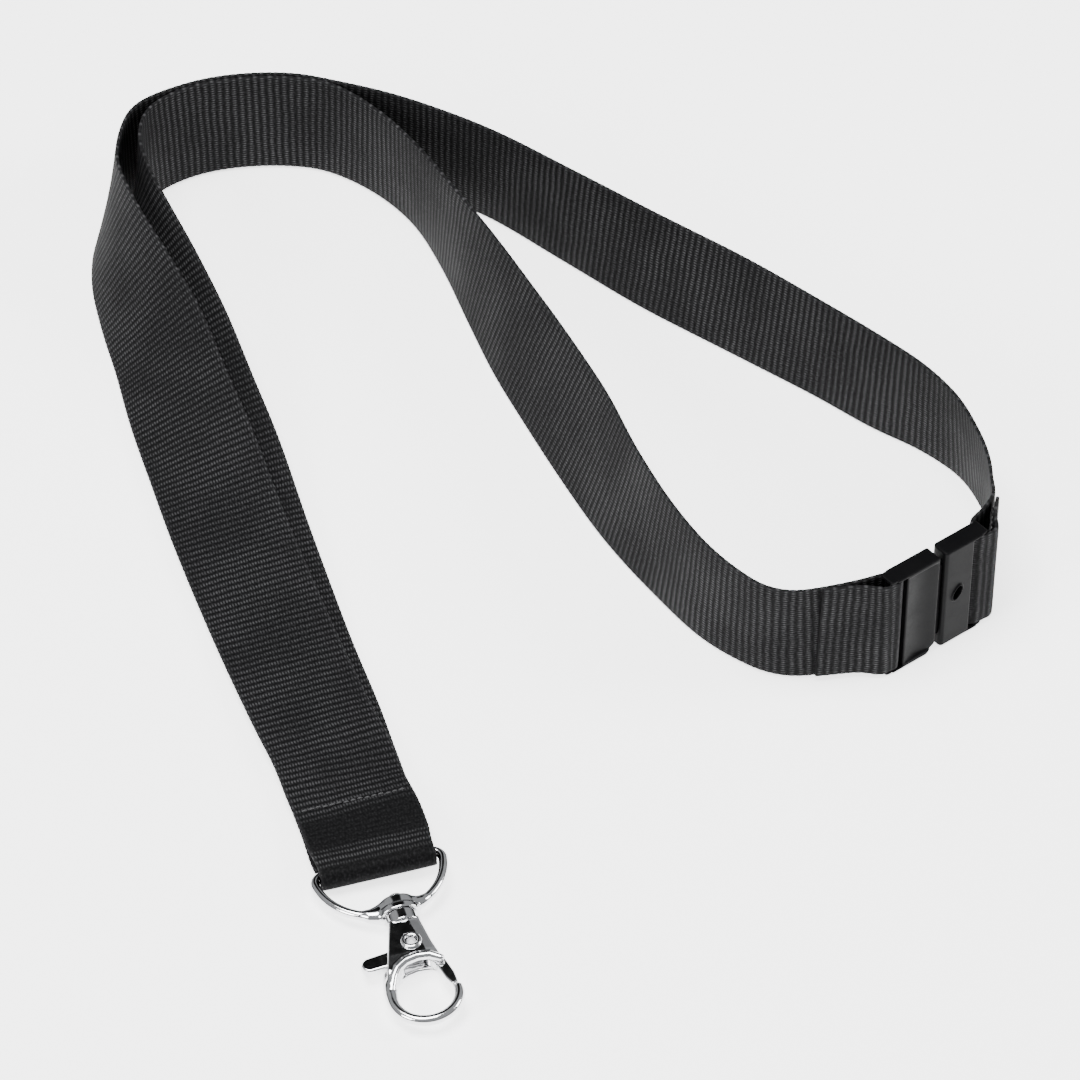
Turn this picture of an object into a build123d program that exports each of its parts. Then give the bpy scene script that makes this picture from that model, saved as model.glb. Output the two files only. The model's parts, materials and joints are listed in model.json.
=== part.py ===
"""Neck lanyard: ribbed webbing loop, breakaway buckle, D-ring and swivel lobster hook.

The lanyard lies on a table, z = 0. Millimetres, +Z up, +X to the right, +Y away from the hook.
The webbing stands on edge round the neck loop and lies flat where its two strands run
together down to the D-ring. The ring and the hook share one local frame, hook_plane.
"""

from build123d import *
import os
from math import atan2, cos, degrees, radians, sin, sqrt

os.makedirs("parts", exist_ok=True)

# ---------------------------------------------------------------- driving dimensions
# webbing
webbing_width = 25.0
webbing_thickness = 0.9
fold_width = 23.7  # the webbing is drawn in a little where it passes the ring's bar
fold_slack = 0.55  # room left round the bar
fold_hang = 0.9  # how far the fold stands off towards the hook
sections_per_span = 3

# D-ring
ring_wire = 1.95  # wire diameter
ring_inner_width = 24.55
ring_corner = 2.4  # bend radius of the centre line at the bar's ends
bow_centre = 1.15  # distance of the bow's centre from the bar
bar_height = 3.2  # bar centre above the table
bar_centre = (-30.6, -93.4)
hook_heading = -75.0  # direction from the bar to the hook, degrees from +X
hook_roll = 3.0  # the right end of the bar is a little higher than the left

# hub of the ring and swivel stud
hub_offset = 1.3  # hook axis to the right of the ring's middle
hub_half_width = 4.2
hub_half_height = 3.0
hub_near = 11.2  # distance of the hub's inner face from the bar
hub_length = 4.2
stud_shank = 1.35
stud_head = 2.1
stud_head_height = 1.3
running_clearance = 0.05

# hook
collar_radius = 3.2
collar_gap = 0.4
collar_length = 3.0
body_half_thickness = 2.55
slot_height = 2.5
claw_wire = 2.1
claw_radius = 6.6  # centre line
claw_centre = (-0.3, -36.8)
claw_tip_angle = -4.0
rivet_place = -24.5
rivet_hole = 1.0
rivet_shank = 1.4
rivet_flange = 2.15
rivet_flange_height = 0.45
arch_top = -28.6

# gate
gate_thickness = 2.2
gate_eye = 3.1
gate_clearance = 0.05
spring_wire = 0.35
spring_radius = 1.78
spring_turns = 2

# breakaway buckle
buckle_height = 26.5
buckle_thickness = 4.4
buckle_heading = 38.0  # direction from the plug to the socket, degrees from +X
buckle_corner = (74.7, -37.0)  # front corner of the plug's webbing end
plug_length = 13.1
socket_length = 11.9
halves_gap = 1.5
end_bar = 2.0  # diameter of the bar the webbing is folded round
end_bar_inset = 1.1
slot_end = 4.3
rail = 0.6
tongue_reach = 6.0
tongue_height = 20.0
tongue_thickness = 2.0
pocket_clearance = 0.15
latch_hole = 1.2  # radius
latch_place = 3.6

# stitching
stitch_length = 1.1
stitch_pitch = 1.45
stitch_width = 0.5
stitch_height = 0.25

# ---------------------------------------------------------------- route of the webbing
# Hand-placed points of each strand's centre line, from the ring up the leg, round the
# turn and on to the buckle: x, y, z, and the lean of the width: 0 lies flat with the
# outer face up, 90 stands on edge, more than 90 leans outwards.
outer_route = [
    (-36.1, -75.0, 2, 0), (-40.5, -61.0, 1.9, 0), (-45.3, -49.0, 1.9, 0), (-52.0, -31.0, 2, 2),
    (-58.5, -12.5, 2.3, 5), (-64.9, 6.5, 3, 8), (-71.3, 26.5, 4.6, 17), (-77.3, 44.0, 6.6, 28),
    (-82.6, 61.0, 8.2, 38), (-88.3, 75.5, 10, 50), (-93.6, 90.3, 11.6, 63),
    (-95.9, 104.0, 12.4, 76), (-93.3, 116.0, 12.65, 88), (-89.1, 124.6, 12.65, 92),
    (-79.1, 130.9, 12.65, 94), (-68.5, 134.3, 12.65, 94), (-56.2, 134.9, 12.65, 94),
    (-45.6, 132.3, 12.65, 94), (-29.3, 126.2, 12.65, 93), (-10.1, 115.0, 12.65, 93),
    (8.2, 99.6, 12.6, 97), (26.7, 83.6, 12.5, 101), (45.7, 68.4, 12.5, 101),
    (63.0, 53.6, 12.6, 97), (75.4, 42.3, 12.65, 95), (85.5, 33.3, 12.65, 89),
    (92.9, 23.6, 12.6, 84), (97.0, 12.2, 12.6, 83), (98.1, 4.0, 12.65, 85),
    (97.9, -3.0, 12.8, 87),
]
inner_route = [
    (-35.5, -75.8, 0.7, 0), (-39.6, -61.6, 0.6, 0), (-43.3, -48.6, 0.6, 0),
    (-49.1, -30.6, 0.7, 0), (-54.7, -12.0, 1.05, 2), (-60.4, 7.4, 1.7, 5),
    (-66.2, 27.6, 2.95, 11), (-72.1, 45.0, 4.85, 20), (-77.4, 61.6, 6.4, 28),
    (-82.5, 76.0, 8.5, 40), (-87.3, 91.0, 10.85, 57), (-89.5, 102.5, 12.15, 72),
    (-89.5, 113.5, 12.65, 86), (-86.5, 123.0, 12.65, 92), (-78.6, 129.6, 12.65, 94),
    (-68.3, 132.9, 12.65, 94), (-56.3, 133.5, 12.65, 94), (-46.1, 131.0, 12.65, 94),
    (-35.5, 122.5, 12.65, 91), (-26.4, 110.5, 12.65, 90), (-18.6, 94.8, 12.65, 95),
    (-11.0, 77.4, 12.4, 104), (-3.9, 60.6, 12, 111), (3.1, 45.0, 11.75, 114),
    (11.6, 25.5, 11.75, 114), (19.3, 6.4, 12.25, 107), (28.1, -11.0, 12.55, 99),
    (37.4, -25.3, 12.65, 94), (47.9, -34.9, 12.65, 89), (56.7, -37.4, 12.65, 89),
]
turn_start = 6
turn_end = 14
top_end = 20

# ---------------------------------------------------------------- local frames
heading = radians(hook_heading)
roll = radians(hook_roll)
level_bar = Vector(-sin(heading), cos(heading), 0)
hook_plane = Plane(
    origin=(bar_centre[0], bar_centre[1], bar_height),
    x_dir=level_bar * cos(roll) + Vector(0, 0, sin(roll)),
    z_dir=Vector(0, 0, cos(roll)) - level_bar * sin(roll),
)
bar_line = hook_plane.x_dir
up_line = hook_plane.z_dir


def in_hook(x, y, z=0.0):
    """A point of the ring's frame in the lanyard's frame."""
    return hook_plane.from_local_coords(Vector(x, y, z))


def hook_level(z, x=0.0, y=0.0):
    """A plane parallel to the ring, z above the hook axis."""
    return Plane(origin=in_hook(x, y, z), x_dir=bar_line, z_dir=up_line)


def across_hook(y, x=hub_offset):
    """A plane square to the hook axis at y, facing the claw, with its x along the bar."""
    return Plane(origin=in_hook(x, y), x_dir=bar_line, z_dir=hook_plane.y_dir * -1)


buckle_plane = Plane(
    origin=(buckle_corner[0], buckle_corner[1], 0),
    x_dir=Vector(cos(radians(buckle_heading)), sin(radians(buckle_heading)), 0),
    z_dir=(0, 0, 1),
)


def in_buckle(x, y, z=0.0):
    """x along the buckle from the plug's end, y from the front face to the back."""
    return buckle_plane.from_local_coords(Vector(x, y, z))


# ---------------------------------------------------------------- webbing sections
def smooth(points, steps):
    """Catmull-Rom curve through the points, steps values to a span."""
    ends = [2 * points[0] - points[1], *points, 2 * points[-1] - points[-2]]
    curve = []
    for p0, p1, p2, p3 in zip(ends, ends[1:], ends[2:], ends[3:]):
        for step in range(steps):
            t = step / steps
            curve.append(
                (2 * p1 + (p2 - p0) * t + (2 * p0 - 5 * p1 + 4 * p2 - p3) * t**2
                 + (3 * p1 - p0 - 3 * p2 + p3) * t**3) * 0.5
            )
    return curve + [points[-1]]


def route_sections(route):
    """Planes square to a strand, each with its x across the webbing, lower edge to upper."""
    centres = smooth([Vector(x, y, z) for x, y, z, lean in route], sections_per_span)
    leans = smooth([Vector(lean, 0, 0) for x, y, z, lean in route], sections_per_span)
    sections = []
    for index, centre in enumerate(centres):
        after = centres[min(index + 1, len(centres) - 1)]
        along = (after - centres[max(index - 1, 0)]).normalized()
        inwards = along.cross(Vector(0, 0, 1)).normalized()
        lean = radians(leans[index].X)
        across = inwards * cos(lean) + inwards.cross(along) * sin(lean)
        sections.append(Plane(origin=centre, x_dir=across, z_dir=along))
    return sections


def standing_sections(points):
    """Sections of a stretch that stands upright, from points x, y, z in order."""
    points = [Vector(*point) for point in points]
    sections = []
    for index, point in enumerate(points):
        along = points[min(index + 1, len(points) - 1)] - points[max(index - 1, 0)]
        along = Vector(along.X, along.Y, 0).normalized()
        sections.append(Plane(origin=point, x_dir=(0, 0, 1), z_dir=along))
    return sections


outer_sections = route_sections(outer_route)
inner_sections = route_sections(inner_route)
stretches = {
    "strap_outer_leg": (outer_sections, 0, turn_start),
    "strap_outer_turn": (outer_sections, turn_start, turn_end),
    "strap_outer_top": (outer_sections, turn_end, top_end),
    "strap_outer_run": (outer_sections, top_end, len(outer_route) - 1),
    "strap_inner_leg": (inner_sections, 0, turn_start),
    "strap_inner_turn": (inner_sections, turn_start, turn_end),
    "strap_inner_top": (inner_sections, turn_end, top_end),
    "strap_inner_run": (inner_sections, top_end, len(inner_route) - 1),
}
for node, (sections, first, last) in stretches.items():
    with BuildPart() as stretch:
        for section in sections[first * sections_per_span:last * sections_per_span + 1]:
            with BuildSketch(section):
                Rectangle(webbing_width, webbing_thickness)
        loft(ruled=True)
    stretch.part.label = node
    export_step(stretch.part, f"parts/{node}.step")

# fold round the ring's bar: down the outer strand, round the bar, back along the inner one
fold_radius = ring_wire / 2 + fold_slack + webbing_thickness / 2
fold_approach = [(14.0, 0.85, -1.15), (7.0, 1.35, -0.5)]  # y, half spread, sag of the pair
fold_points = [(y, sag + half) for y, half, sag in fold_approach]
fold_points += [
    (-fold_hang - fold_radius * sin(radians(turn)), fold_radius * cos(radians(turn)))
    for turn in range(0, 181, 20)
]
fold_points += [(y, sag - half) for y, half, sag in reversed(fold_approach)]
with BuildPart() as strap_ring_fold:
    start = outer_sections[0]
    with BuildSketch(Plane(origin=start.origin, x_dir=start.x_dir, z_dir=start.z_dir * -1)):
        Rectangle(webbing_width, webbing_thickness)
    for before, (y, z), after in zip(fold_points, fold_points[1:], fold_points[2:]):
        along = in_hook(0, *after) - in_hook(0, *before)
        with BuildSketch(Plane(origin=in_hook(0, y, z), x_dir=bar_line, z_dir=along)):
            Rectangle(fold_width, webbing_thickness)
    with BuildSketch(inner_sections[0]):
        Rectangle(webbing_width, webbing_thickness)
    loft(ruled=True)
strap_ring_fold.part.label = "strap_ring_fold"
export_step(strap_ring_fold.part, "parts/strap_ring_fold.step")


def round_bar(centre, first, last, step, slack):
    """Points of the webbing's centre line round an end bar, by heading in degrees."""
    radius = end_bar / 2 + slack + webbing_thickness / 2
    middle = buckle_height / 2
    return [
        (centre.X + radius * cos(radians(turn)), centre.Y + radius * sin(radians(turn)), middle)
        for turn in range(first, last, step)
    ]


buckle_length = plug_length + halves_gap + socket_length
plug_bar = in_buckle(end_bar_inset, buckle_thickness / 2)
socket_bar = in_buckle(buckle_length - end_bar_inset, buckle_thickness / 2)

plug_end_points = [
    (60.9, -36.3, 12.9), (65.2, -35.3, 13.1), (69.5, -34.0, 13.25),
    *round_bar(plug_bar + buckle_plane.x_dir * 0.9, 103, -90, -20, 0.3),
    (74.0, -36.6, 13.2), (70.7, -36.5, 13.2), (67.2, -36.45, 13.3), (63.7, -37.02, 13.4),
    (59.9, -37.65, 13.5),
]
socket_end_points = [
    (97.3, -7.2, 12.9), (96.6, -9.4, 13.0), (95.5, -11.4, 13.1), (93.9, -13.8, 13.2),
    (92.4, -16.0, 13.25),
    *round_bar(socket_bar - buckle_plane.x_dir * 0.5, 145, 320, 20, 0.25),
    (95.0, -20.6, 13.25), (97.0, -19.0, 13.2), (97.3, -15.8, 13.1), (97.5, -12.0, 13.0),
    (98.05, -9.0, 12.9),
]
for node, sections in {
    "strap_plug_end": [inner_sections[-1], *standing_sections(plug_end_points)],
    "strap_socket_end": standing_sections(socket_end_points),
}.items():
    with BuildPart() as strap_end:
        for section in sections:
            with BuildSketch(section):
                Rectangle(webbing_width, webbing_thickness)
        loft(ruled=True)
    strap_end.part.label = node
    export_step(strap_end.part, f"parts/{node}.step")

# ---------------------------------------------------------------- stitching
# each row is one thread: a thin line on the webbing's face with the stitches standing on it
ring_row = outer_sections[0]
plug_row = Plane(origin=(63.7, -37.02, 13.4), x_dir=(0, 0, 1), z_dir=(-1, -0.164, 0))
socket_row = Plane(origin=(97.775, -10.5, 12.95), x_dir=(0, 0, 1), z_dir=(0.183, 1, 0))
seams = {
    "ring_seam": (ring_row, -1, 1.4, 22.0),
    "plug_seam": (plug_row, 1, 0.0, 22.0),
    "socket_seam": (socket_row, -1, 0.0, 22.0),
}
for node, (section, side, forward, row_length) in seams.items():
    face = Plane(
        origin=section.from_local_coords(Vector(0, side * webbing_thickness / 2, forward)),
        x_dir=section.x_dir,
        z_dir=section.y_dir * side,
    )
    stitches = int(row_length / stitch_pitch)
    with BuildPart(face) as seam:
        Box(
            row_length, stitch_width * 0.6, stitch_height * 0.6,
            align=(Align.CENTER, Align.CENTER, Align.MIN),
        )
        with GridLocations(stitch_pitch, 1, stitches, 1):
            Box(
                stitch_length, stitch_width, stitch_height,
                align=(Align.CENTER, Align.CENTER, Align.MIN),
            )
    seam.part.label = node
    export_step(seam.part, f"parts/{node}.step")

# ---------------------------------------------------------------- breakaway buckle
half_height = buckle_height / 2
middle_y = buckle_thickness / 2
socket_start = plug_length + halves_gap
middle_plane = buckle_plane * Location((0, middle_y, half_height))

with BuildPart(middle_plane) as buckle_plug:
    with Locations((slot_end / 2, 0, 0)):
        Box(slot_end, buckle_thickness, buckle_height)
        Box(slot_end, buckle_thickness + 1, buckle_height - 2 * rail, mode=Mode.SUBTRACT)
    with Locations((end_bar_inset, 0, 0)):
        Cylinder(end_bar / 2, buckle_height)
    with Locations(((slot_end + plug_length) / 2, 0, 0)):
        Box(plug_length - slot_end, buckle_thickness, buckle_height)
    with Locations((plug_length + (halves_gap + tongue_reach) / 2 - 0.5, 0, 0)):
        Box(halves_gap + tongue_reach + 1, tongue_thickness, tongue_height)
    # shallow hollow on both faces of the panel
    hollow_x = (slot_end + plug_length) / 2 - 0.4
    for side in (-1, 1):
        with Locations((hollow_x, side * (buckle_thickness / 2 + 0.1), 0)):
            Box(plug_length - slot_end - 3.0, 1.6, buckle_height - 5.0, mode=Mode.SUBTRACT)
    # the lower corner next to the socket is cut off
    with BuildSketch(Plane(
        origin=in_buckle(0, -1, 0), x_dir=buckle_plane.x_dir, z_dir=buckle_plane.y_dir * -1,
    )):
        with BuildLine():
            Polyline(
                (plug_length - 2.2, -1), (plug_length - 2.2, 0), (plug_length, 2.2),
                (plug_length + 1, 2.2), (plug_length + 1, -1), close=True,
            )
        make_face()
    extrude(amount=-(buckle_thickness + 2), mode=Mode.SUBTRACT)
buckle_plug.part.label = "buckle_plug"
export_step(buckle_plug.part, "parts/buckle_plug.step")

pocket_depth = tongue_reach + 0.5
with BuildPart(middle_plane) as buckle_socket:
    panel_length = socket_length - slot_end
    with Locations((socket_start + panel_length / 2, 0, 0)):
        Box(panel_length, buckle_thickness, buckle_height)
    left_edges = buckle_socket.edges().filter_by(Axis.Z).sort_by(Axis.X)[:2]
    fillet(left_edges, 1.4)
    with Locations((socket_start + pocket_depth / 2, 0, 0)):
        Box(
            pocket_depth, tongue_thickness + 2 * pocket_clearance,
            tongue_height + 2 * pocket_clearance, mode=Mode.SUBTRACT,
        )
    with Locations((buckle_length - slot_end / 2, 0, 0)):
        Box(slot_end, buckle_thickness, buckle_height)
        Box(slot_end, buckle_thickness + 1, buckle_height - 2 * rail, mode=Mode.SUBTRACT)
    with Locations((buckle_length - end_bar_inset, 0, 0)):
        Cylinder(end_bar / 2, buckle_height)
    with Locations((socket_start + latch_place, -buckle_thickness / 2, 0)):
        Cylinder(
            latch_hole, buckle_thickness / 2 + tongue_thickness, rotation=(90, 0, 0),
            mode=Mode.SUBTRACT,
        )
buckle_socket.part.label = "buckle_socket"
export_step(buckle_socket.part, "parts/buckle_socket.step")

# ---------------------------------------------------------------- D-ring
half_width = ring_inner_width / 2 + ring_wire / 2
corner_x = sqrt((half_width - ring_corner) ** 2 - (ring_corner - bow_centre) ** 2)
turn_in = atan2(ring_corner - bow_centre, corner_x)
bow_x = half_width * cos(turn_in)
bow_y = -bow_centre - half_width * sin(turn_in)
with BuildPart() as d_ring:
    with BuildLine(hook_level(0)) as ring_line:
        Line((corner_x, 0), (-corner_x, 0))
        CenterArc((-corner_x, -ring_corner), ring_corner, 90, 90 + degrees(turn_in))
        ThreePointArc((-bow_x, bow_y), (0, -half_width - bow_centre), (bow_x, bow_y))
        CenterArc((corner_x, -ring_corner), ring_corner, -degrees(turn_in), 90 + degrees(turn_in))
    with BuildSketch(Plane(origin=in_hook(0, 0), x_dir=up_line, z_dir=bar_line * -1)):
        Circle(ring_wire / 2)
    sweep(path=ring_line.wires()[0])
    with BuildSketch(across_hook(-hub_near)):
        RectangleRounded(2 * hub_half_width - 2.4, 2 * hub_half_height, 1.6)
    with BuildSketch(across_hook(-(hub_near + hub_length))):
        RectangleRounded(2 * hub_half_width, 2 * hub_half_height, 1.6)
    loft()
    with BuildSketch(across_hook(-hub_near + 1)):
        Circle(stud_shank + running_clearance)
    extrude(amount=hub_length + 2, mode=Mode.SUBTRACT)
d_ring.part.label = "d_ring"
export_step(d_ring.part, "parts/d_ring.step")

# ---------------------------------------------------------------- swivel stud
collar_start = hub_near + hub_length + collar_gap
with BuildPart() as swivel_stud:
    with BuildSketch(across_hook(-(hub_near - running_clearance))):
        Circle(stud_head)
    extrude(amount=-stud_head_height, taper=28)
    with BuildSketch(across_hook(-(hub_near - running_clearance))):
        Circle(stud_shank)
    extrude(amount=collar_start + collar_length - hub_near)
swivel_stud.part.label = "swivel_stud"
export_step(swivel_stud.part, "parts/swivel_stud.step")

# ---------------------------------------------------------------- hook
collar_end = collar_start + collar_length
rivet_at = (hub_offset, rivet_place)
with BuildPart() as hook_body:
    with BuildSketch(across_hook(-collar_start)):
        Circle(collar_radius)
    extrude(amount=collar_length + 0.6)
    with BuildSketch(hook_level(-body_half_thickness, hub_offset)):
        with BuildLine():
            Polyline(
                (3.1, -collar_end), (-3.0, -collar_end), (-4.85, -24.8), (-6.25, -30.0),
                (-6.6, -31.4), (-4.6, -31.4), (-4.2, -30.4), (-2.4, -28.9), (0.0, arch_top + 0.3),
                (2.6, -28.7), (4.2, -29.9), (4.9, -29.9), (3.95, -24.8), close=True,
            )
        make_face()
    extrude(amount=2 * body_half_thickness)
    with BuildLine(hook_level(0, hub_offset)) as claw_line:
        left = (claw_centre[0] - claw_radius, claw_centre[1])
        low = (claw_centre[0], claw_centre[1] - claw_radius)
        tip = (
            claw_centre[0] + claw_radius * cos(radians(claw_tip_angle)),
            claw_centre[1] + claw_radius * sin(radians(claw_tip_angle)),
        )
        bend = ThreePointArc(tip, low, left)
        TangentArc(left, (-5.6, -30.6), tangent=bend % 1)
    with BuildSketch(Plane(
        origin=in_hook(hub_offset + tip[0], tip[1]), x_dir=up_line,
        z_dir=claw_line.wires()[0] % 0,
    )):
        Circle(claw_wire / 2)
    sweep(path=claw_line.wires()[0])
    # room for the gate between the two cheeks
    with BuildSketch(hook_level(-slot_height / 2, hub_offset)):
        with BuildLine():
            Polyline(
                (9.0, -20.2), (-9.0, -20.2), (-9.0, -29.0), (-2.6, -29.0), (-2.6, -32.0),
                (9.0, -32.0), close=True,
            )
        make_face()
    extrude(amount=slot_height, mode=Mode.SUBTRACT)
    with Locations(hook_level(0, *rivet_at)):
        Cylinder(rivet_shank, 4 * body_half_thickness, mode=Mode.SUBTRACT)
    with BuildSketch(across_hook(-collar_start)):
        Circle(stud_shank)
    extrude(amount=collar_length, mode=Mode.SUBTRACT)
hook_body.part.label = "hook_body"
export_step(hook_body.part, "parts/hook_body.step")

# ---------------------------------------------------------------- rivet
with BuildPart(hook_level(0, *rivet_at)) as rivet:
    Cylinder(rivet_shank, 2 * body_half_thickness)
    for side in (-1, 1):
        with Locations((0, 0, side * (body_half_thickness + rivet_flange_height / 2))):
            Cylinder(rivet_flange, rivet_flange_height)
    Cylinder(rivet_hole, 3 * body_half_thickness, mode=Mode.SUBTRACT)
rivet.part.label = "rivet"
export_step(rivet.part, "parts/rivet.step")

# ---------------------------------------------------------------- gate
spring_room = spring_radius + spring_wire / 2 + 0.2
spring_pitch = spring_wire + 0.08
spring_height = spring_turns * spring_pitch
with BuildPart() as gate_lever:
    with BuildSketch(hook_level(-gate_thickness / 2, hub_offset)):
        with BuildLine():
            Polyline(
                (1.5, -22.6), (3.6, -26.0), (5.5, -29.3), (6.5, -33.4), (6.6, -36.1),
                (5.1, -36.75), (4.4, -34.6), (3.3, -30.3), (0.0, rivet_place - gate_eye + 0.2),
                close=True,
            )
        make_face()
        with BuildLine():
            Polyline(
                (0.0, rivet_place + 1.5), (-5.0, -24.4), (-9.6, -25.1), (-10.4, -25.7),
                (-10.8, -26.6), (-10.6, -27.6), (-10.0, -28.3), (-9.2, -28.6), (-5.0, -28.3),
                (0.0, rivet_place - gate_eye + 0.2),
                close=True,
            )
        make_face()
        with Locations((0, rivet_place)):
            Circle(gate_eye)
    extrude(amount=gate_thickness)
    with Locations(hook_level(0, *rivet_at)):
        Cylinder(rivet_shank + gate_clearance, 2 * gate_thickness, mode=Mode.SUBTRACT)
    with BuildSketch(hook_level(-gate_thickness / 2, *rivet_at)):
        Circle(spring_room)
    extrude(amount=spring_height + spring_wire + 0.2, mode=Mode.SUBTRACT)
gate_lever.part.label = "gate_lever"
export_step(gate_lever.part, "parts/gate_lever.step")

# ---------------------------------------------------------------- gate spring
coil_base = hook_level(-gate_thickness / 2 + spring_wire / 2 + 0.05, *rivet_at)
with BuildPart() as gate_spring:
    with BuildLine(coil_base) as coil:
        Helix(spring_pitch, spring_height, spring_radius)
    with BuildSketch(Plane(origin=coil.line @ 0, z_dir=coil.line % 0)):
        Circle(spring_wire / 2)
    sweep(path=coil.line, is_frenet=True)
gate_spring.part.label = "gate_spring"
export_step(gate_spring.part, "parts/gate_spring.step")
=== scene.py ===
# %% [markdown]
# # A neck lanyard, from webbing to polished hook
#
# The object is one long strip of black ribbed webbing. It runs from a breakaway buckle round
# the neck, down to a D-ring, and back up to the buckle. A swivel hook hangs on the ring.
# The engineering model is loaded first, because it fixes every size, place and joint.
# The looks are then built on it, piece by piece.

import json

import bpy
import numpy as np
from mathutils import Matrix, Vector


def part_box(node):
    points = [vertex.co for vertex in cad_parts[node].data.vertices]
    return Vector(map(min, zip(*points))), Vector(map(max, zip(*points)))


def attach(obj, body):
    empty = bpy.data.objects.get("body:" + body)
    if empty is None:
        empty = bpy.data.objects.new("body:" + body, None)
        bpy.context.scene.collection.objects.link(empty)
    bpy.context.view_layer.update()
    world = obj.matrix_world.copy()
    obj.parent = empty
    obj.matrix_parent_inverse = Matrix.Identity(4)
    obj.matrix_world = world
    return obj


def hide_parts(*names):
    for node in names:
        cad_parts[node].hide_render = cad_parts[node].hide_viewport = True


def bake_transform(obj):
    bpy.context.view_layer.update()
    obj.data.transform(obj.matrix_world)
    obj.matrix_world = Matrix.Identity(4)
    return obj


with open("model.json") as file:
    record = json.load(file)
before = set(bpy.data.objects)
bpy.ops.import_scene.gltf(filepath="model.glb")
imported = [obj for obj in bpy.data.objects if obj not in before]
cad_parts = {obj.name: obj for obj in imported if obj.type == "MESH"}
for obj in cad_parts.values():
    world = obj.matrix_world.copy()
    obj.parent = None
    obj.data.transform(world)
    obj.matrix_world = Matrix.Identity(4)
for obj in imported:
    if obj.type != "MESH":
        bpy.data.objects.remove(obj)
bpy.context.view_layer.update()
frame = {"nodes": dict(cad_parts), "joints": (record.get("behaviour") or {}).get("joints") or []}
joints = {joint["name"]: joint for joint in frame["joints"]}
MM = 0.001

# %% [markdown]
# ## The camera
#
# The lanyard lies on a table and is seen from well above, from some way off with a long
# lens, so its far end hardly shrinks. A short lens close by would give the same outline
# but would make the near hook look too big.

# %% Place the camera
camera_place = np.array([2.2, -799.5, 750.2]) * MM
camera_target = np.array([2.2, 5.0, 0.0]) * MM
camera_data = bpy.data.cameras.new("long_lens")
camera_data.lens = 170.67
camera_data.sensor_width = 36.0
camera_data.clip_start = 0.05
camera = bpy.data.objects.new("camera", camera_data)
camera.location = camera_place
camera.rotation_euler = Vector(camera_target - camera_place).to_track_quat("-Z", "Y").to_euler()
bpy.context.collection.objects.link(camera)
bpy.context.scene.camera = camera

# %% [markdown]
# ## Making a mesh from arrays
#
# Every new piece is worked out as whole arrays of points and faces. One small function turns
# them into an object, gives it its place in the joint tree, and hides the engineering
# pieces that it stands for.


# %% Turn arrays into a piece
def make_piece(name, points_mm, faces, body, material, stands_for):
    """Points in mm in the model's frame become a smooth shaded mesh that rides on a body."""
    mesh = bpy.data.meshes.new(name)
    mesh.from_pydata((np.asarray(points_mm) * MM).tolist(), [], faces)
    mesh.polygons.foreach_set("use_smooth", [True] * len(mesh.polygons))
    mesh.update()
    piece = bpy.data.objects.new(name, mesh)
    bpy.context.collection.objects.link(piece)
    mesh.materials.append(material)
    if body:
        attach(piece, body)
    if stands_for:
        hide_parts(*stands_for)
    print(f"{name}: {len(mesh.vertices)} points, {len(mesh.polygons)} faces")
    return piece


# %% [markdown]
# ## Node helpers
#
# A finish is a small network of nodes. These helpers keep each network short: one adds a
# node with its settings, one does a sum.


# %% Small helpers for node networks
def add_node(tree, kind, settings=None, **inputs):
    """Add a node, set its plain settings, then fill or link its inputs by name."""
    node = tree.nodes.new(kind)
    for key, value in (settings or {}).items():
        setattr(node, key, value)
    for key, value in inputs.items():
        numbered = key[0] == "i" and key[1:].isdigit()
        socket = node.inputs[int(key[1:]) if numbered else key.replace("_", " ")]
        if isinstance(value, bpy.types.NodeSocket):
            tree.links.new(value, socket)
        else:
            socket.default_value = value
    return node


def sum_of(tree, operation, a, b=0.0, c=0.0):
    """One arithmetic step on values or sockets; returns the result's socket."""
    return add_node(tree, "ShaderNodeMath", {"operation": operation}, i0=a, i1=b, i2=c).outputs[0]


def new_group(name, inputs, outputs):
    """A node group with named inputs (name, kind, default) and outputs (name, kind)."""
    group = bpy.data.node_groups.new(name, "ShaderNodeTree")
    for label, kind, default in inputs:
        socket = group.interface.new_socket(label, in_out="INPUT", socket_type=kind)
        if default is not None:
            socket.default_value = default
    for label, kind in outputs:
        group.interface.new_socket(label, in_out="OUTPUT", socket_type=kind)
    return group, group.nodes.new("NodeGroupInput"), group.nodes.new("NodeGroupOutput")


def new_material(name):
    """A material with its shader, and the shader's node tree."""
    material = bpy.data.materials.new(name)
    material.use_nodes = True
    return material, material.node_tree, material.node_tree.nodes["Principled BSDF"]


# %% [markdown]
# ## The weave
#
# The webbing is a ribbed tape. Thick cross threads make ribs from edge to edge, and fine
# lengthwise threads go over each rib as short dashes, brightened by a painted highlight on
# the rib crests. The pattern follows the strip's own UV map, in metres: u along the strip,
# v across it. It can then bend with the strip, which a pattern fixed in space can't.

# %% Build the weave as a node group
weave, weave_in, weave_out = new_group(
    "ribbed_weave",
    [
        ("Vector", "NodeSocketVector", None),
        ("Rib Pitch", "NodeSocketFloat", 0.00165),
        ("Thread Pitch", "NodeSocketFloat", 0.00062),
    ],
    [("Dash", "NodeSocketFloat"), ("Height", "NodeSocketFloat"), ("Edge", "NodeSocketFloat")],
)
uv = add_node(weave, "ShaderNodeSeparateXYZ", Vector=weave_in.outputs["Vector"])
wander = add_node(
    weave, "ShaderNodeTexNoise", {"noise_dimensions": "2D"},
    Vector=weave_in.outputs["Vector"], Scale=140.0, Detail=2.0,
).outputs["Fac"]
wander_part = sum_of(weave, "MULTIPLY", sum_of(weave, "SUBTRACT", wander, 0.5), 0.35)
ribs_along = sum_of(weave, "DIVIDE", uv.outputs["X"], weave_in.outputs["Rib Pitch"])
rib_count = sum_of(weave, "ADD", ribs_along, wander_part)
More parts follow.
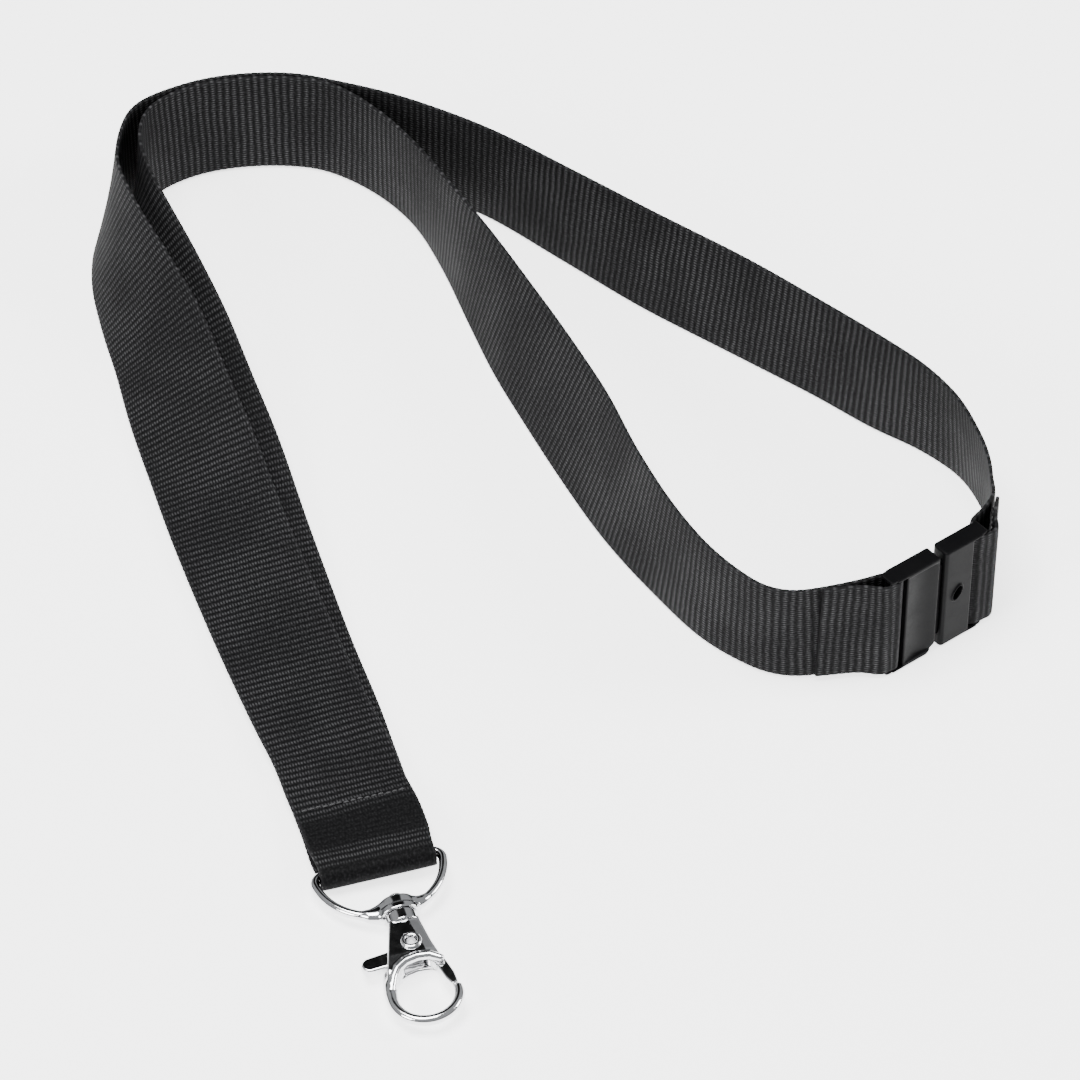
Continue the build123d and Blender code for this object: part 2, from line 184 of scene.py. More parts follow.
crest = sum_of(weave, "SINE", sum_of(weave, "MULTIPLY", sum_of(weave, "FRACT", rib_count), np.pi))
row = sum_of(weave, "MULTIPLY", sum_of(weave, "FLOOR", rib_count), 0.5)
threads_across = sum_of(weave, "DIVIDE", uv.outputs["Y"], weave_in.outputs["Thread Pitch"])
thread_count = sum_of(weave, "ADD", threads_across, row)
thread_turn = sum_of(weave, "MULTIPLY", sum_of(weave, "FRACT", thread_count), np.pi)
thread = sum_of(weave, "SINE", thread_turn)
# the dash is brightest on the rib crests: a painted highlight where the threads catch the light
dash = sum_of(
    weave, "MULTIPLY", sum_of(weave, "POWER", crest, 3.0), sum_of(weave, "POWER", thread, 2.0)
)
height = sum_of(weave, "MULTIPLY", crest, sum_of(weave, "MULTIPLY_ADD", thread, 0.35, 0.65))
across = sum_of(weave, "ABSOLUTE", uv.outputs["Y"])
edge = add_node(
    weave, "ShaderNodeMapRange", {"interpolation_type": "SMOOTHSTEP"},
    Value=across, i1=0.0117, i2=0.0121,
).outputs["Result"]
for socket, label in ((dash, "Dash"), (height, "Height"), (edge, "Edge")):
    weave.links.new(socket, weave_out.inputs[label])

# %% [markdown]
# ## Webbing finish
#
# Black polyester isn't one flat black. The grooves are nearly black, and the dashes catch
# the light. Broad patches of the tape are a little smoother or rougher, from
# handling.


# %% Webbing and thread materials
def webbing_material(name, rib_pitch=0.00165):
    """Ribbed black polyester: dark grooves, dashes with a painted highlight, paler edges, broad
    uneven sheen.
    """
    material, tree, shader = new_material(name)
    place = add_node(tree, "ShaderNodeTexCoord").outputs["UV"]
    pattern = add_node(
        tree, "ShaderNodeGroup", {"node_tree": weave}, Vector=place, Rib_Pitch=rib_pitch
    )
    patches = add_node(
        tree, "ShaderNodeTexNoise", {"noise_dimensions": "2D"},
        Vector=place, Scale=55.0, Detail=3.0,
    ).outputs["Fac"]
    along_strip = add_node(tree, "ShaderNodeSeparateXYZ", Vector=place).outputs["X"]
    from_fold = sum_of(tree, "SUBTRACT", along_strip, 0.5)
    from_fold.node.name = "from_fold"
    # the painted dash highlight is dimmed within about 3 mm of the fold and in a band about 10 to
    # 19 mm from it on both legs
    away = sum_of(tree, "DIVIDE", sum_of(tree, "ABSOLUTE", from_fold), 0.03)
    fold_band_dimming = add_node(tree, "ShaderNodeValToRGB", i0=away)
    stops = fold_band_dimming.color_ramp.elements
    stops[0].color, stops[1].color = (0.05, 0.05, 0.05, 1), (1, 1, 1, 1)
    for position, value in (
        (0.11, 0.05), (0.15, 1.0), (0.27, 0.9), (0.34, 0.15), (0.62, 0.15), (0.76, 1.0),
    ):
        stops.new(position).color = (value, value, value, 1)
    fleck = add_node(
        tree, "ShaderNodeTexNoise", {"noise_dimensions": "2D"},
        Vector=place, Scale=1800.0, Detail=1.0,
    ).outputs["Fac"]
    uneven = add_node(
        tree, "ShaderNodeMapRange", Value=patches, i1=0.38, i2=0.62, i3=0.65, i4=1.0
    ).outputs["Result"]
    strength = sum_of(tree, "MULTIPLY", uneven, sum_of(tree, "MULTIPLY_ADD", fleck, 1.2, 0.3))
    # dim the painted dash highlight at the fold and in the band near the seam
    strength = sum_of(tree, "MULTIPLY", strength, fold_band_dimming.outputs["Color"])
    # the dashes lighten the base colour: a painted highlight on the rib crests
    light = sum_of(tree, "MULTIPLY", pattern.outputs["Dash"], strength)
    light = sum_of(tree, "MULTIPLY_ADD", sum_of(tree, "POWER", fleck, 3.0), 0.35, light)
    light = sum_of(tree, "MULTIPLY_ADD", pattern.outputs["Edge"], 0.08, light)
    colour = add_node(
        tree, "ShaderNodeMix", {"data_type": "RGBA"}, i0=light,
        i6=(0.0022, 0.0022, 0.0024, 1), i7=(0.05, 0.05, 0.052, 1),
    )
    tree.links.new(colour.outputs[2], shader.inputs["Base Color"])
    rough = sum_of(tree, "MULTIPLY_ADD", patches, -0.2, 0.78)
    tree.links.new(rough, shader.inputs["Roughness"])
    bump = add_node(
        tree, "ShaderNodeBump", Height=pattern.outputs["Height"], Strength=0.6, Distance=0.00006,
    )
    tree.links.new(bump.outputs["Normal"], shader.inputs["Normal"])
    shader.inputs["Specular IOR Level"].default_value = 0.04
    return material


webbing = webbing_material("black_ribbed_webbing")

thread_black, tree, shader = new_material("stitching_thread")
place = add_node(tree, "ShaderNodeTexCoord").outputs["Object"]
twist = add_node(
    tree, "ShaderNodeTexWave", {"bands_direction": "DIAGONAL"}, Vector=place, Scale=1400.0,
).outputs["Fac"]
colour = add_node(
    tree, "ShaderNodeMix", {"data_type": "RGBA"}, i0=twist,
    i6=(0.012, 0.012, 0.013, 1), i7=(0.05, 0.05, 0.052, 1),
)
tree.links.new(colour.outputs[2], shader.inputs["Base Color"])
bump = add_node(tree, "ShaderNodeBump", Height=twist, Strength=0.5, Distance=0.00005)
tree.links.new(bump.outputs["Normal"], shader.inputs["Normal"])
shader.inputs["Roughness"].default_value = 0.6

# %% [markdown]
# ## Where the webbing runs
#
# A strip has a centre line and, at each point, a direction across its width. The points
# below are the engineering model's own, in mm, each raised where needed so that its lower
# edge clears the table. The last number is the lean of the width: 0 lies flat, 90 stands
# on edge.

# %% The webbing's route
outer_route = np.array([
    (-36.1, -75.0, 2, 0), (-40.5, -61.0, 1.9, 0), (-45.3, -49.0, 1.9, 0), (-52.0, -31.0, 2, 2),
    (-58.5, -12.5, 2.3, 5), (-64.9, 6.5, 3, 8), (-71.3, 26.5, 4.6, 17), (-77.3, 44.0, 6.6, 28),
    (-82.6, 61.0, 8.2, 38), (-88.3, 75.5, 10, 50), (-93.6, 90.3, 11.6, 63),
    (-95.9, 104.0, 12.4, 76), (-93.3, 116.0, 12.65, 88), (-89.1, 124.6, 12.65, 92),
    (-79.1, 130.9, 12.65, 94), (-68.5, 134.3, 12.65, 94), (-56.2, 134.9, 12.65, 94),
    (-45.6, 132.3, 12.65, 94), (-29.3, 126.2, 12.65, 93), (-10.1, 115.0, 12.65, 93),
    (8.2, 99.6, 12.6, 97), (26.7, 83.6, 12.5, 101), (45.7, 68.4, 12.5, 101),
    (63.0, 53.6, 12.6, 97), (75.4, 42.3, 12.65, 95), (85.5, 33.3, 12.65, 89),
    (92.9, 23.6, 12.6, 84), (97.0, 12.2, 12.6, 83), (98.1, 4.0, 12.65, 85),
    (97.9, -3.0, 12.8, 87),
])
inner_route = np.array([
    (-35.5, -75.8, 0.7, 0), (-39.6, -61.6, 0.6, 0), (-43.3, -48.6, 0.6, 0),
    (-49.1, -30.6, 0.7, 0), (-54.7, -12.0, 1.05, 2), (-60.4, 7.4, 1.7, 5),
    (-66.2, 27.6, 2.95, 11), (-72.1, 45.0, 4.85, 20), (-77.4, 61.6, 6.4, 28),
    (-82.5, 76.0, 8.5, 40), (-87.3, 91.0, 10.85, 57), (-89.5, 102.5, 12.15, 72),
    (-89.5, 113.5, 12.65, 86), (-86.5, 123.0, 12.65, 92), (-78.6, 129.6, 12.65, 94),
    (-68.3, 132.9, 12.65, 94), (-56.3, 133.5, 12.65, 94), (-46.1, 131.0, 12.65, 94),
    (-35.5, 122.5, 12.65, 91), (-26.4, 110.5, 12.65, 90), (-18.6, 94.8, 12.65, 95),
    (-11.0, 77.4, 12.4, 104), (-3.9, 60.6, 12, 111), (3.1, 45.0, 11.75, 114),
    (11.6, 25.5, 11.75, 114), (19.3, 6.4, 12.25, 107), (28.1, -11.0, 12.55, 99),
    (37.4, -25.3, 12.65, 94), (47.9, -34.9, 12.65, 89), (56.7, -37.4, 12.65, 89),
])

# %% Settings shared with the engineering model
webbing_width = 25.0
webbing_thickness = 0.9
bar_radius = 0.975  # the D-ring's bar
fold_slack = 0.55  # room left round it
fold_hang = 0.9  # how far the fold stands off towards the hook
end_bar_radius = 1.0  # the buckle's bars
buckle_height = 26.5
buckle_thickness = 4.4
buckle_length = 26.5

# the ring's own frame: x along its bar, y up the leg of webbing, z up out of the ring
bar_centre = np.array(joints["ring_swing"]["pos_m"]) / MM
bar_line = np.array(joints["ring_swing"]["axis"])
leg_line = -np.array(joints["hook_swivel"]["axis"])
ring_up = np.cross(bar_line, leg_line)
ring_axes = np.array([bar_line, leg_line, ring_up])

# the buckle's own frame: x from plug to socket, y from its front face to its back
buckle_line = np.array(joints["breakaway"]["axis"])
buckle_back = np.cross([0, 0, 1], buckle_line)
buckle_axes = np.array([buckle_line, buckle_back, [0, 0, 1]])
plug_low = np.array(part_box("buckle_plug")[0]) / MM
buckle_corner = np.array([plug_low[0] - buckle_thickness * buckle_back[0], plug_low[1], 0])


def in_ring(points):
    """Points of the ring's frame, in the model's frame."""
    return bar_centre + np.asarray(points) @ ring_axes


def in_buckle(points):
    """Points of the buckle's frame, in the model's frame."""
    return buckle_corner + np.asarray(points) @ buckle_axes


# %% Turn a strand's points into centres and width directions
def catmull_rom(points, steps):
    """A curve through the points: each span blends its four nearest points by cubic weights."""
    ends = np.vstack([2 * points[0] - points[1], points, 2 * points[-1] - points[-2]])
    p0, p1, p2, p3 = (ends[k:len(ends) - 3 + k, None] for k in range(4))
    t = (np.arange(steps) / steps)[None, :, None]
    spans = 0.5 * (
        2 * p1 + (p2 - p0) * t + (2 * p0 - 5 * p1 + 4 * p2 - p3) * t**2
        + (3 * p1 - p0 - 3 * p2 + p3) * t**3
    )
    return np.vstack([spans.reshape(-1, points.shape[1]), points[-1:]])


def unit(vectors):
    """Each row divided by its own length."""
    return vectors / np.linalg.norm(vectors, axis=-1, keepdims=True)


def strand(route):
    """Centre and width direction at each section: the lean turns the width upright."""
    curve = catmull_rom(route, 3)
    centre, lean = curve[:, :3], np.radians(curve[:, 3:])
    padded = np.vstack([centre[:1], centre, centre[-1:]])
    along = unit(padded[2:] - padded[:-2])
    inwards = unit(np.cross(along, [0, 0, 1]))
    width = inwards * np.cos(lean) + np.cross(inwards, along) * np.sin(lean)
    return np.hstack([centre, width])


def round_bar(centre, first, last, step, slack):
    """The centre line round an end bar, standing upright: one point each step of degrees."""
    turn = np.radians(np.arange(first, last, step))
    radius = end_bar_radius + slack + webbing_thickness / 2
    return np.column_stack([
        centre[0] + radius * np.cos(turn), centre[1] + radius * np.sin(turn),
        np.full(len(turn), buckle_height / 2), 0 * turn, 0 * turn, 1 + 0 * turn,
    ])


def upright(points):
    """Points whose width stands straight up."""
    points = np.asarray(points, float)
    return np.hstack([points, np.tile([0.0, 0.0, 1.0], (len(points), 1))])


plug_bar = in_buckle([1.1, buckle_thickness / 2, 0])
socket_bar = in_buckle([buckle_length - 1.1, buckle_thickness / 2, 0])
outer_strand = strand(outer_route)
inner_strand = strand(inner_route)
plug_loop = np.vstack([
    upright([(60.9, -36.3, 12.9), (65.2, -35.3, 13.1), (69.5, -34.0, 13.25)]),
    round_bar(plug_bar + 0.9 * buckle_line, 103, -90, -20, 0.3),
    upright([
        (74.0, -36.6, 13.2), (70.7, -36.5, 13.2), (67.2, -36.45, 13.3), (63.7, -37.02, 13.4),
        (59.9, -37.65, 13.5),
    ]),
])
socket_loop = np.vstack([
    upright([
        (97.3, -7.2, 12.9), (96.6, -9.4, 13.0), (95.5, -11.4, 13.1), (93.9, -13.8, 13.2),
        (92.4, -16.0, 13.25),
    ]),
    round_bar(socket_bar - 0.5 * buckle_line, 145, 320, 20, 0.25),
    upright([
        (95.0, -20.6, 13.25), (97.0, -19.0, 13.2), (97.3, -15.8, 13.1), (97.5, -12.0, 13.0),
        (98.05, -9.0, 12.9),
    ]),
])
turn = np.radians(np.arange(0, 181, 20))
fold_radius = bar_radius + fold_slack + webbing_thickness / 2
fold_line = np.vstack([
    [(14.0, -0.30), (7.0, 0.85)],
    np.column_stack([-fold_hang - fold_radius * np.sin(turn), fold_radius * np.cos(turn)]),
    [(7.0, -1.85), (14.0, -2.0)],
])
fold = np.hstack([
    in_ring(np.column_stack([0 * fold_line[:, 0], fold_line])),
    np.tile(bar_line, (len(fold_line), 1)),
])

# %% [markdown]
# ## One continuous strip
#
# The real lanyard is a single length of tape, so the ribs must run on without a break round
# the ring and both bars. All sections are put in order from one cut end to the other. A
# natural cubic spline, with chord length as its parameter, then gives evenly spaced rings.


# %% Evenly spaced frames along the strip
def smooth_frames(sections, spacing):
    """A natural cubic spline through the rows, then rows evenly spaced along its centre line."""
    step = np.linalg.norm(np.diff(sections[:, :3], axis=0), axis=1)
    knot = np.concatenate([[0], np.cumsum(step)])
    n = len(knot)
    system, target = np.eye(n), np.zeros((n, sections.shape[1]))
    inner = np.arange(1, n - 1)
    system[inner, inner - 1], system[inner, inner + 1] = step[:-1], step[1:]
    system[inner, inner] = 2 * (step[:-1] + step[1:])
    slope = np.diff(sections, axis=0) / step[:, None]
    target[inner] = 6 * np.diff(slope, axis=0)
    bend = np.linalg.solve(system, target)

    def at(value):
        k = np.clip(np.searchsorted(knot, value, side="right") - 1, 0, n - 2)
        h, a = step[k][:, None], (knot[k + 1] - value)[:, None]
        b = (value - knot[k])[:, None]
        return (
            (bend[k] * a**3 + bend[k + 1] * b**3) / (6 * h)
            + (sections[k] / h - bend[k] * h / 6) * a
            + (sections[k + 1] / h - bend[k + 1] * h / 6) * b
        )

    fine = np.linspace(0, knot[-1], 20000)
    run = np.concatenate(
        [[0], np.cumsum(np.linalg.norm(np.diff(at(fine)[:, :3], axis=0), axis=1))]
    )
    length = np.arange(0, run[-1], spacing)
    rows = at(np.interp(length, run, fine))
    centre = rows[:, :3]
    along = unit(np.gradient(centre, axis=0))
    width = rows[:, 3:6]
    width = unit(width - along * (width * along).sum(1, keepdims=True))
    return length, centre, along, width, np.cross(width, along)


main_sections = np.vstack([
    plug_loop[::-1], inner_strand[::-1][1:-1], fold[::-1], outer_strand[1:], socket_loop,
])
rib_pitch = 1.65
spacing = rib_pitch / 5
length, centre, along, width, outward = smooth_frames(main_sections, spacing)
print(f"cut length of the webbing: {length[-1]:.1f} mm")

# %% Weave the strip's surface
profile_across = np.array(
    [-1, -0.994, -0.978, -0.95, -0.8, -0.6, -0.4, -0.2, 0, 0.2, 0.4, 0.6, 0.8, 0.95, 0.978, 0.994]
)
profile_height = np.array([0, 0.55, 0.86, 0.93, 1, 1, 1, 1, 1, 1, 1, 1, 1, 0.93, 0.86, 0.55])
across = np.concatenate([profile_across, -profile_across])
height = np.concatenate([profile_height, -profile_height])


def strip_piece(name, first, last, body, stands_for):
    """Rings of one cross-section carried along the frames, ribbed and with looped edges.

    The half thickness swells by a rectified sine at each rib; the half width swells with
    it, because the cross thread turns back at the edge there.
    """
    pick = slice(first, last)
    rib = np.abs(np.sin(np.pi * length[pick] / rib_pitch))[:, None]
    near_ring = np.exp(-((np.abs(length[pick] - ring_run) / 8.0) ** 4))[:, None]
    half_width = webbing_width / 2 - 0.08 + 0.08 * rib - 0.6 * near_ring
    half_thick = 0.42 + 0.025 * rib
    side = across[None, :] * half_width
    lift = height[None, :] * half_thick
    points = (
        centre[pick, None] + width[pick, None] * side[..., None]
        + outward[pick, None] * lift[..., None]
    )
    rings, around = points.shape[:2]
    ring, column = np.meshgrid(np.arange(rings - 1), np.arange(around), indexing="ij")
    after = (column + 1) % around
    quads = np.stack([
        ring * around + column, ring * around + after,
        (ring + 1) * around + after, (ring + 1) * around + column,
    ], axis=-1).reshape(-1, 4)
    caps = [list(range(around))[::-1], list(range((rings - 1) * around, rings * around))]
    piece = make_piece(
        name, points.reshape(-1, 3), quads.tolist() + caps, body, webbing, stands_for
    )
    u = np.repeat(length[pick] * MM, around)
    v = np.tile(across * webbing_width / 2 * MM, rings)
    index = np.empty(len(piece.data.loops), np.int64)
    piece.data.loops.foreach_get("vertex_index", index)
    layer = piece.data.uv_layers.new(name="strip")
    layer.data.foreach_set("uv", np.column_stack([u[index], v[index]]).ravel())
    return piece


def run_near(point):
    """How far along the strip it passes nearest to a point."""
    return length[np.argmin(np.linalg.norm(centre - np.asarray(point), axis=1))]


ring_run = run_near(in_ring([0, -fold_hang - fold_radius, 0]))
socket_start = int(run_near([97.3, -7.2, 12.9]) / spacing)
loop_part = strip_piece(
    "webbing_socket_loop", socket_start, len(length), "buckle_socket", ["strap_socket_end"]
)
long_part = strip_piece("webbing_long_strip", 0, socket_start + 1, None, [
    "strap_outer_leg", "strap_outer_turn", "strap_outer_top", "strap_outer_run",
    "strap_inner_leg", "strap_inner_turn", "strap_inner_top", "strap_inner_run",
    "strap_ring_fold", "strap_plug_end",
])
webbing.node_tree.nodes["from_fold"].inputs[1].default_value = ring_run * MM
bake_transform(long_part)

# %% [markdown]
# ## Stitching
#
# A row of lockstitch holds the strip to itself at the ring and at each bar. Each stitch is
# a short thread that dips into the tape at both ends. They are made as small arched
# capsules, all from one array.


# %% Rows of stitches
def stitch_row(name, run, face, pitch, count, body, stands_for, slant=0.0):
    """Arched capsules in a row across the strip: a half turn of arch, a full turn round it."""
    k = int(run / spacing)
    middle = centre[k] + outward[k] * face * 0.44
    a = np.linspace(-1, 1, 7)
    b = np.arange(8) * np.pi / 4
    number = np.arange(count) - (count - 1) / 2
    swell = np.sqrt(np.clip(1 - np.abs(a) ** 3, 0.04, 1)) * 0.24
    n, s, t = np.meshgrid(number, np.arange(7), b, indexing="ij")
    sway = 0.12 * np.sin(n * 2.1) + slant * n
    x = n * pitch + a[s] * pitch * 0.42
    y = swell[s] * np.cos(t) + sway
    z = swell[s] * np.sin(t) * 0.9 + 0.10 * (1 - a[s] ** 2) - 0.02
    points = (
        middle + x[..., None] * width[k] + y[..., None] * along[k]
        + z[..., None] * outward[k] * face
    )
    base = (np.arange(count) * 56)[:, None, None]
    ring, column = np.meshgrid(np.arange(6), np.arange(8), indexing="ij")
    after = (column + 1) % 8
    quads = np.stack([
        base + ring * 8 + column, base + (ring + 1) * 8 + column,
        base + (ring + 1) * 8 + after, base + ring * 8 + after,
    ], axis=-1).reshape(-1, 4)
    ends = [list(range(c * 56, c * 56 + 8)) for c in range(count)]
    ends += [list(range(c * 56 + 48, c * 56 + 56))[::-1] for c in range(count)]
    return make_piece(
        name, points.reshape(-1, 3), quads.tolist() + ends, body, thread_black, stands_for
    )


stitch_row("stitches_at_ring", ring_run + 23.0, 1, 1.45, 15, "strap", ["ring_seam"], -0.12)
stitch_row("stitches_at_plug", 4.2, 1, 1.45, 15, "strap", ["plug_seam"])
stitch_row("stitches_at_socket", length[-1] - 1.6, 1, 1.45, 15, "buckle_socket", ["socket_seam"])

# %% [markdown]
# ## Cast and moulded pieces
#
# Castings have rounded edges and soft fillets where one form meets another, which boxes and
# cylinders joined by booleans don't. Here each one is a distance field: a function that
# says how far any point is from the surface. Fields blend smoothly into each other. The
# surface is then found on a grid, and its points are slid onto it exactly.


# %% Find the surface of a distance field
def cast(field, low, high, step):
    """Surface nets: one point in each cell that the surface crosses, joined across its edges.

    Each point then moves down the field's slope until the field is zero there.
    """
    axes = [np.arange(a, b + step, step) for a, b in zip(low, high)]
    grid = np.stack(np.meshgrid(*axes, indexing="ij"))
    inside = field(*grid) < 0
    nx, ny, nz = inside.shape
    corners = sum(
        inside[i:nx - 1 + i, j:ny - 1 + j, k:nz - 1 + k].astype(np.int8)
        for i in (0, 1) for j in (0, 1) for k in (0, 1)
    )
    cells = np.argwhere((corners > 0) & (corners < 8))
    number = np.full(corners.shape, -1)
    number[tuple(cells.T)] = np.arange(len(cells))
    points = (np.array(low) + (cells + 0.5) * step).T
    h = step * 0.05
    for _ in range(5):
        slope = np.stack([
            (field(*(points + h * e[:, None])) - field(*(points - h * e[:, None]))) / (2 * h)
            for e in np.eye(3)
        ])
        move = field(*points) * slope / np.maximum((slope**2).sum(0), 0.2)
        points = points - np.clip(move, -step * 0.6, step * 0.6)
    faces = []
    for axis in range(3):
        b, c = (axis + 1) % 3, (axis + 2) % 3
        first = np.take(inside, np.arange(inside.shape[axis] - 1), axis)
        second = np.take(inside, np.arange(1, inside.shape[axis]), axis)
        place = np.argwhere(first != second)
        place = place[(place[:, b] > 0) & (place[:, c] > 0)]
        place = place[(place[:, b] < inside.shape[b] - 1) & (place[:, c] < inside.shape[c] - 1)]
        step_b, step_c = np.eye(3, dtype=int)[b], np.eye(3, dtype=int)[c]
        quad = np.stack([
            number[tuple((place - step_b - step_c).T)], number[tuple((place - step_c).T)],
            number[tuple(place.T)], number[tuple((place - step_b).T)],
        ], axis=1)
        out = first[tuple(place.T)]
        quad[~out] = quad[~out][:, ::-1]
        faces.append(quad)
    return points.T, np.vstack(faces).tolist()


# %% Distances to simple forms
def blend_in(a, b, reach):
    """The union of two fields, with a fillet about as large as reach."""
    h = np.maximum(reach - np.abs(a - b), 0) / reach
    return np.minimum(a, b) - h * h * reach / 4


def cut(a, b, reach=0.2):
    """Field a with field b taken away, its new edges rounded by reach."""
    h = np.maximum(reach - np.abs(a + b), 0) / reach
    return np.maximum(a, -b) + h * h * reach / 4


def block(x, y, z, middle, half, radius):
    """Distance to a box with rounded edges."""
    q = [np.abs(p - m) - (s - radius) for p, m, s in zip((x, y, z), middle, half)]
    outside = np.sqrt(sum(np.maximum(d, 0) ** 2 for d in q))
    return outside + np.minimum(np.maximum(np.maximum(q[0], q[1]), q[2]), 0) - radius


def drum(u, v, w, radius, half, rounding):
    """Distance to a round bar along w with rounded rims."""
    d = np.sqrt(u * u + v * v) - radius + rounding
    e = np.abs(w) - half + rounding
    outside = np.sqrt(np.maximum(d, 0) ** 2 + np.maximum(e, 0) ** 2)
    return outside + np.minimum(np.maximum(d, e), 0) - rounding


def wire(x, y, z, line, radii):
    """Distance to a wire along a line of points, its radius changing from point to point."""
    line, radii = np.asarray(line, float), np.broadcast_to(radii, len(line))
    best = np.full(x.shape, 1e9)
    for a, b, ra, rb in zip(line, line[1:], radii, radii[1:]):
        d = b - a
        t = np.clip(((x - a[0]) * d[0] + (y - a[1]) * d[1] + (z - a[2]) * d[2]) / (d @ d), 0, 1)
        gap = np.sqrt(
            (x - a[0] - t * d[0]) ** 2 + (y - a[1] - t * d[1]) ** 2 + (z - a[2] - t * d[2]) ** 2
        )
        best = np.minimum(best, gap - ra - t * (rb - ra))
    return best


def outline(x, y, corners):
    """Signed distance in the plane to a closed outline: negative inside."""
    corners = np.asarray(corners, float)
    best, sign = np.full(x.shape, 1e9), np.ones(x.shape)
    for a, b in zip(corners, np.roll(corners, -1, axis=0)):
        d = b - a
        t = np.clip(((x - a[0]) * d[0] + (y - a[1]) * d[1]) / (d @ d), 0, 1)
        best = np.minimum(best, (x - a[0] - t * d[0]) ** 2 + (y - a[1] - t * d[1]) ** 2)
        crosses = (a[1] <= y) != (b[1] <= y)
        side = (x - a[0]) * d[1] - (y - a[1]) * d[0]
        sign = np.where(crosses & ((side < 0) == (d[1] > 0)), -sign, sign)
    return sign * np.sqrt(best)


def plate(x, y, z, corners, half, radius):
    """Distance to an outline given a thickness; half may change from place to place."""
    d = outline(x, y, corners) + radius
    e = np.abs(z) - half + radius
    outside = np.sqrt(np.maximum(d, 0) ** 2 + np.maximum(e, 0) ** 2)
    return outside + np.minimum(np.maximum(d, e), 0) - radius


# %% [markdown]
# ## Metal and plastic finishes
#
# Bright nickel or chrome plate on a small casting is a mirror, slightly dulled, with fine
# scratches from handling and a faint waviness of the casting underneath. Without those it
# looks like glass. The buckle is moulded acetal: satin, with a fine spark-eroded texture.

# %% A shared effect: fine surface wear
wear, wear_in, wear_out = new_group(
    "fine_wear",
    [
        ("Scale", "NodeSocketFloat", 900.0),
        ("Low", "NodeSocketFloat", 0.1),
        ("High", "NodeSocketFloat", 0.2),
    ],
    [("Roughness", "NodeSocketFloat"), ("Height", "NodeSocketFloat")],
)
place = add_node(wear, "ShaderNodeTexCoord").outputs["Object"]
grain = add_node(
    wear, "ShaderNodeTexNoise", Vector=place, Scale=wear_in.outputs["Scale"], Detail=4.0
).outputs["Fac"]
broad = add_node(wear, "ShaderNodeTexNoise", Vector=place, Scale=240.0, Detail=2.0).outputs["Fac"]
mixed = sum_of(wear, "MULTIPLY_ADD", grain, 0.5, sum_of(wear, "MULTIPLY", broad, 0.5))
rough = add_node(
    wear, "ShaderNodeMapRange",
    Value=mixed, i1=0.35, i2=0.65, i3=wear_in.outputs["Low"], i4=wear_in.outputs["High"],
)
wear.links.new(rough.outputs["Result"], wear_out.inputs["Roughness"])
wear.links.new(mixed, wear_out.inputs["Height"])


def worn_material(name, colour, metallic, scale, low, high, bump_height, specular=0.5):
    """A plain colour with uneven gloss and a slight texture from the shared wear."""
    material, tree, shader = new_material(name)
    marks = add_node(
        tree, "ShaderNodeGroup", {"node_tree": wear}, Scale=scale, Low=low, High=high
    )
    tint = add_node(
        tree, "ShaderNodeMix", {"data_type": "RGBA"}, i0=marks.outputs["Height"],
        i6=(*[c * 0.85 for c in colour], 1), i7=(*[min(c * 1.15, 1) for c in colour], 1),
    )
    tree.links.new(tint.outputs[2], shader.inputs["Base Color"])
    tree.links.new(marks.outputs["Roughness"], shader.inputs["Roughness"])
    bump = add_node(
        tree, "ShaderNodeBump", Height=marks.outputs["Height"], Strength=0.3, Distance=bump_height
    )
    tree.links.new(bump.outputs["Normal"], shader.inputs["Normal"])
    shader.inputs["Metallic"].default_value = metallic
    shader.inputs["Specular IOR Level"].default_value = specular
    return material


chrome = worn_material("polished_plate", (0.72, 0.72, 0.73), 1.0, 700.0, 0.06, 0.14, 0.00001)
inner_steel = worn_material("spring_wire", (0.45, 0.45, 0.46), 1.0, 900.0, 0.2, 0.35, 0.00001)
plastic = worn_material(
    "satin_black_plastic", (0.0025, 0.0025, 0.0028), 0.0, 2500.0, 0.35, 0.5, 0.00003, 0.05
)

# %% [markdown]
# ## The breakaway buckle
#
# Two flat mouldings stand on edge. The plug has a bar for the webbing, a hollowed panel, and
# a tongue that goes into the socket. The socket has a small latch hole, and its corner next
# to the plug is well rounded.

# %% Mould the plug
half_tall = buckle_height / 2
rail = 0.6  # height of the thin bar-end rails
middle_y = buckle_thickness / 2


def bar_end(x, y, z, start, end, bar):
    """The open frame that holds the webbing: two thin rails and a round bar between them."""
    middle = ((start + end) / 2, middle_y, half_tall)
    frame_block = block(x, y, z, middle, ((end - start) / 2, middle_y, half_tall), 0.3)
    from_bar = np.sqrt((x - bar) ** 2 + (y - middle_y) ** 2) - 1.9
    beyond = (bar - x) if bar < middle[0] else (x - bar)
    frame_block = np.maximum(frame_block, np.minimum(from_bar, beyond + 0.6))
    window = block(
        x, y, z, middle, ((end - start) / 2 + 1.0, buckle_thickness, half_tall - rail), 0.1
    )
    return np.minimum(
        cut(frame_block, window, 0.1),
        drum(x - bar, y - middle_y, z - half_tall, end_bar_radius, half_tall - 0.2, 0.1),
    )


def plug_field(x, y, z):
    panel = block(x, y, z, (8.7, middle_y, half_tall), (4.4, middle_y, half_tall), 0.35)
    corner = plate(
        x, z, y - middle_y, [(10.9, -2), (10.9, 0), (13.1, 2.2), (15, 2.2), (15, -2)], 4.0, 0.1
    )
    panel = cut(panel, corner, 0.3)
    for face in (-11.6, 16.0):
        hollow = np.sqrt((x - 8.5) ** 2 + (y - face) ** 2) - 12.25
        panel = cut(panel, np.maximum(hollow, np.abs(z - half_tall) - 12.0), 0.5)
    tongue = block(x, y, z, (16.6, middle_y, half_tall), (4.0, 1.0, 10.0), 0.4)
    return np.minimum(blend_in(panel, tongue, 0.4), bar_end(x, y, z, 0.0, 4.8, 1.1))


points, faces = cast(plug_field, (-0.6, -0.6, -0.6), (21.4, 5.0, 27.1), 0.2)
make_piece(
    "buckle_plug_moulding", in_buckle(points), faces, "strap", plastic, ["buckle_plug"]
)


